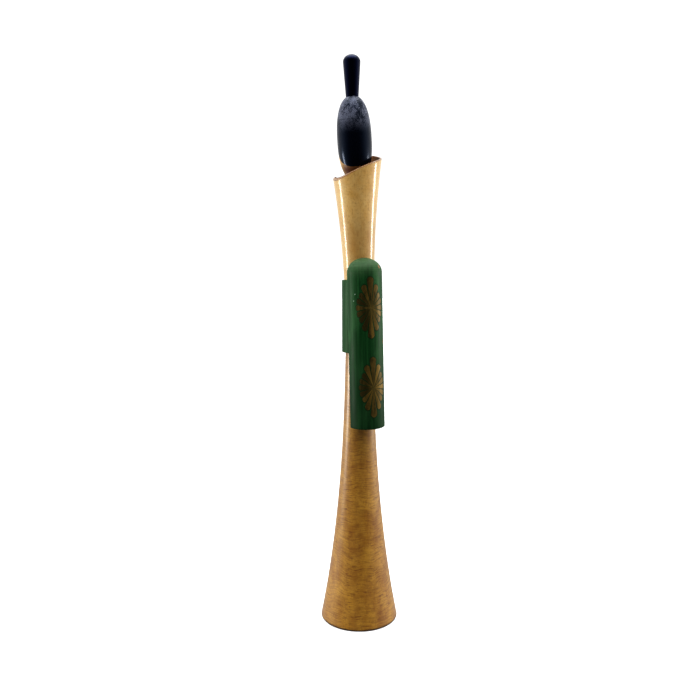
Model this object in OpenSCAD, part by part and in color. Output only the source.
// Tall turned wooden doll with a flared skirt, a hollow slanted collar, an egg-shaped head with a
// topknot, and an obi: a turned band at the waist with a long half-round drop down the back.
// Millimetres, +Z up, origin at the centre of the foot. The doll faces -Y and its left side is +X.

/* [Skirt] */
// Radius of the foot
foot_r = 25.2; // [23:0.1:27]
// Height of the skirt, from the foot to the obi band
skirt_h = 176; // [165:1:185]
// Radius of the skirt where it meets the obi band
skirt_top_r = 9; // [8.5:0.1:10]
// Straight part of the skirt's flare, in millimetres of radius per millimetre of height
skirt_taper = 0.02; // [0.01:0.005:0.03]
// How late the skirt's flare opens towards the foot
skirt_power = 2.45; // [2:0.05:3]
// Radius of the rounded edge round the foot
foot_edge = 0.9; // [0.4:0.1:1.5]

/* [Obi] */
// Outer radius of the obi band
band_r = 11.2; // [11:0.1:12]
// Height of the obi band
band_h = 46; // [40:1:52]
// Radius of the band's eased edges
band_edge = 0.4; // [0.2:0.1:0.8]
// Radius of the half-round drop down the back
drop_r = 11.2; // [10:0.1:12]
// Length of the drop
drop_h = 106.2; // [95:0.1:115]
// Height of the drop's domed top end
drop_dome = 9; // [6:0.5:11]
// Distance from the band's axis to the drop's flat back
drop_back = 10.7; // [10.5:0.1:10.9]
// Height of the drop's lower end above the foot
drop_z = 129.5; // [125:0.5:135]
// Lean of the drop towards the doll's left, in degrees
drop_lean = 1.4; // [0:0.1:2]
// Height of the upper of the two pegs that fix the drop to the band
drop_peg_z = 211; // [200:1:214]

/* [Collar] */
// Radius of the collar piece where it stands on the band
collar_foot_r = 9.65; // [9:0.05:10.4]
// Height of the turned blank that the collar is cut from
collar_h = 84; // [80:1:90]
// Radius of that blank at its top
collar_top_r = 17.75; // [16.5:0.05:18]
// Straight part of the collar's flare
collar_taper = 0.026; // [0.02:0.002:0.03]
// Thickness of the collar's wall at the rim
collar_wall = 1.8; // [1.5:0.1:2.4]
// Lean of the collar piece towards the doll's left, in degrees
collar_lean = 1.8; // [0:0.1:2.5]
// Height above the foot of the rim's main cut, on the doll's axis
cut_z = 295.8; // [292:0.1:298]
// Fall of the main cut towards the doll's left shoulder, in degrees
cut_fall_left = 21; // [16:0.5:28]
// Fall of the main cut towards the doll's back, in degrees
cut_fall_back = 15.8; // [8:0.1:18]
// Radius of the arch that the main cut follows
cut_arch_r = 42; // [40:1:80]
// Height above the foot of the straight cut that opens the neckline, on the doll's axis
neckline_z = 297.8; // [296:0.1:306]
// Fall of the neckline's cut towards the doll's left shoulder, in degrees
neckline_fall_left = 34.7; // [25:0.1:40]
// Fall of the neckline's cut towards the doll's front, in degrees
neckline_fall_front = 20.7; // [12:0.1:25]

/* [Head] */
// Largest radius of the head
head_r = 10.8; // [10:0.05:11.2]
// Distance from the widest part of the head up to its crown
head_up = 26.1; // [24:0.1:28]
// Distance from the widest part of the head down to its chin
head_down = 25.2; // [23:0.1:26]
// Fullness of the crown, where 2 is an ellipse
crown_power = 2.4; // [2.1:0.05:2.8]
// Fullness of the jaw, where 2 is an ellipse
jaw_power = 2.45; // [2.1:0.05:2.8]
// Lean of the head towards the doll's left, in degrees
head_lean = 3.4; // [2:0.1:4]
// Radius of the neck
neck_r = 7.1; // [6.5:0.1:7.3]
// Radius of the peg under the neck, which the head turns on
neck_peg_r = 3.5; // [3:0.1:4]

/* [Topknot] */
// Radius of the topknot at the crown
topknot_foot_r = 3.9; // [3.5:0.05:4]
// Largest radius of the topknot
topknot_r = 5.4; // [5:0.05:5.8]
// Length of the topknot above the crown
topknot_h = 26; // [24:0.1:29]
// Length of the topknot's rounded end
topknot_dome = 4.4; // [4:0.1:6]
// Lean of the topknot towards the doll's left, in degrees
topknot_lean = 1; // [0:0.1:3]

/* [Hidden] */
$fn = 96;

STEPS = 24;                    // straight steps along each turned profile
running_gap = 0.06;            // radial clearance of the peg that the head turns on
seat_gap = 0.25;               // clearance under the neck
glue_gap = 1;                  // space left past the end of each glued or turning pin
dowel_r = 5;                   // waist dowel
dowel_reach = 20;              // how far the waist dowel goes into the skirt and the collar
drop_peg_r = 2;
drop_peg_reach = 5;            // how far each drop peg goes into the band and into the drop
drop_peg_pitch = 26;           // distance between the two drop pegs
peg_reach = 16;                // how far the neck peg goes into the collar piece
peg_hold = 12;                 // how far the neck peg is glued into the head
tenon_r = 2.5;                 // tenon under the topknot
tenon_h = 10;
seat_r = 7.9;                  // flat seat bored in the cup for the neck
cup_floor_r = 8.3;
cup_floor_s = 44.8;            // height of the cup's floor above the band
cup_wall_s = 58;               // height above the band where the cup's wall reaches its full width
axes_cross = [2.3, 0, 290];    // where the head's axis crosses the collar's axis
neck_bottom = -24;             // end of the neck, along the head's axis from that crossing
head_mid = 19;                 // widest part of the head, along the same axis
crown_flat = 43.5;             // seat of the topknot on the crown, along the same axis

waist_z = skirt_h + band_h;
WOOD = "BurlyWood";
GREEN = "DarkGreen";
BLACK = "#15151c";

// Radius at a distance u from the narrow end of a flare
function flare(u, narrow_r, wide_r, span, taper, power) =
    narrow_r + taper * u + (wide_r - narrow_r - taper * span) * pow(max(u, 0) / span, power);
function skirt_radius(z) =
    flare(skirt_h - z, skirt_top_r, foot_r, skirt_h, skirt_taper, skirt_power);
function collar_radius(s) =
    flare(s, collar_foot_r, collar_top_r, collar_h, collar_taper, 2);
// A point of the egg's outline, at an angle above (or, when negative, below) its widest part
function egg_point(a) =
    let (power = a > 0 ? crown_power : jaw_power, reach = a > 0 ? head_up : -head_down)
    [head_r * pow(cos(a), 2 / power), head_mid + reach * pow(abs(sin(a)), 2 / power)];
function steps(from, to, n = STEPS) = [for (i = [0:n]) from + (to - from) * i / n];

module turned(profile) {
    rotate_extrude() polygon(profile);
}

// Frames of the pieces that lean
module on_collar() {
    translate([axes_cross.x - (axes_cross.z - waist_z) * tan(collar_lean), 0, waist_z])
        rotate([0, collar_lean, 0]) children();
}
module on_head() {
    translate(axes_cross) rotate([0, head_lean, 0]) children();
}
module on_topknot() {
    on_head() translate([0, 0, crown_flat]) rotate([0, topknot_lean - head_lean, 0]) children();
}
module on_drop() {
    translate([0, drop_back, drop_peg_z]) rotate([0, drop_lean, 0])
        translate([0, 0, drop_z - drop_peg_z]) children();
}
module at_drop_pegs() {
    for (i = [0, 1])
        translate([0, 0, drop_peg_z - i * drop_peg_pitch]) rotate([-90, 0, 0]) children();
}

module waist_hole() {
    translate([0, 0, skirt_h - dowel_reach - glue_gap])
        cylinder(r = dowel_r, h = band_h + 2 * (dowel_reach + glue_gap));
}
module drop_peg_holes() {
    at_drop_pegs() translate([0, 0, band_r - drop_peg_reach - glue_gap / 2])
        cylinder(r = drop_peg_r, h = 2 * drop_peg_reach + glue_gap);
}

module lower_body() {
    color(WOOD) difference() {
        turned(concat(
            [[0, 0]],
            [for (a = steps(0, 80, 5))
                [skirt_radius(foot_edge) - foot_edge * (1 - sin(a)), foot_edge * (1 - cos(a))]],
            [for (z = steps(foot_edge, skirt_h)) [skirt_radius(z), z]],
            [[0, skirt_h]]));
        waist_hole();
    }
}

module waist_dowel() {
    color(WOOD) translate([0, 0, skirt_h - dowel_reach])
        cylinder(r = dowel_r, h = band_h + 2 * dowel_reach);
}

module obi_band() {
    color(GREEN) difference() {
        translate([0, 0, skirt_h]) turned(concat(
            [[0, 0]],
            [for (a = steps(0, 90, 4))
                [band_r - band_edge * (1 - sin(a)), band_edge * (1 - cos(a))]],
            [for (a = steps(0, 90, 4))
                [band_r - band_edge * (1 - cos(a)), band_h - band_edge * (1 - sin(a))]],
            [[0, band_h]]));
        waist_hole();
        drop_peg_holes();
    }
}

module obi_drop() {
    color(GREEN) difference() {
        on_drop() intersection() {
            turned(concat(
                [[0, 0], [drop_r - band_edge, 0], [drop_r, band_edge]],
                [for (a = steps(0, 90, 14))
                    [drop_r * cos(a), drop_h - drop_dome * (1 - sin(a))]]));
            translate([-drop_r - 1, 0, -1]) cube([2 * drop_r + 2, drop_r + 1, drop_h + 2]);
        }
        cylinder(r = band_r, h = 2 * waist_z);
        drop_peg_holes();
    }
}

module drop_pegs() {
    color(WOOD) at_drop_pegs() translate([0, 0, band_r - drop_peg_reach])
        cylinder(r = drop_peg_r, h = 2 * drop_peg_reach);
}

// Everything between the band's top and the two slanted cuts of the rim
module under_the_cuts() {
    intersection() {
        translate([0, 0, cut_z]) rotate([-cut_fall_back, 0, 0])
            translate([-cut_arch_r * sin(cut_fall_left), 0, -cut_arch_r * cos(cut_fall_left)])
                rotate([90, 0, 0]) cylinder(r = cut_arch_r, h = 4 * collar_top_r, center = true);
        translate([0, 0, neckline_z]) rotate([neckline_fall_front, neckline_fall_left, 0])
            translate([-collar_h, -collar_h, -2 * collar_h]) cube(2 * collar_h);
        translate([-collar_h / 2, -collar_h / 2, waist_z]) cube(collar_h);
    }
}

module cup() {
    on_collar() turned(concat(
        [[0, cup_floor_s]],
        [for (a = steps(0, 90, 10))
            [cup_floor_r + (collar_radius(cup_wall_s) - collar_wall - cup_floor_r) * sin(a),
             cup_wall_s - (cup_wall_s - cup_floor_s) * cos(a)]],
        [for (s = steps(cup_wall_s, collar_h + 2, 12)) [collar_radius(s) - collar_wall, s]],
        [[0, collar_h + 2]]));
}

module upper_body() {
    color(WOOD) difference() {
        intersection() {
            on_collar() turned(concat(
                [[0, -2]],
                [for (s = concat([-2], steps(0, collar_h))) [collar_radius(s), s]],
                [[0, collar_h]]));
            under_the_cuts();
        }
        cup();
        waist_hole();
        on_head() translate([0, 0, neck_bottom - seat_gap]) {
            cylinder(r = seat_r, h = 6);
            translate([0, 0, -peg_reach - glue_gap])
                cylinder(r = neck_peg_r + running_gap, h = peg_reach + glue_gap + 1);
        }
    }
}

module head() {
    color(WOOD) difference() {
        on_head() turned(concat(
            [[0, neck_bottom], [neck_r - 0.5, neck_bottom], [neck_r - 0.1, neck_bottom + 0.5]],
            [for (a = steps(-90, 90, 2 * STEPS))
                if (egg_point(a).x > neck_r || a > 0) egg_point(a)]));
        on_head() translate([0, 0, neck_bottom - 1]) cylinder(r = neck_peg_r, h = peg_hold + 1);
        on_topknot() {
            cylinder(r = topknot_foot_r, h = topknot_h);
            translate([0, 0, -tenon_h - glue_gap]) cylinder(r = tenon_r, h = tenon_h + 2 * glue_gap);
        }
    }
}

module neck_peg() {
    color(WOOD) on_head() translate([0, 0, neck_bottom - seat_gap - peg_reach])
        cylinder(r = neck_peg_r, h = peg_reach + seat_gap + peg_hold);
}

module topknot() {
    color(BLACK) on_topknot() turned(concat(
        [[0, -tenon_h], [tenon_r, -tenon_h], [tenon_r, 0], [topknot_foot_r, 0]],
        [for (a = steps(0, 90, 14))
            [topknot_r * cos(a), topknot_h - topknot_dome * (1 - sin(a))]]));
}

lower_body();
waist_dowel();
obi_band();
obi_drop();
drop_pegs();
upper_body();
head();
neck_peg();
topknot();
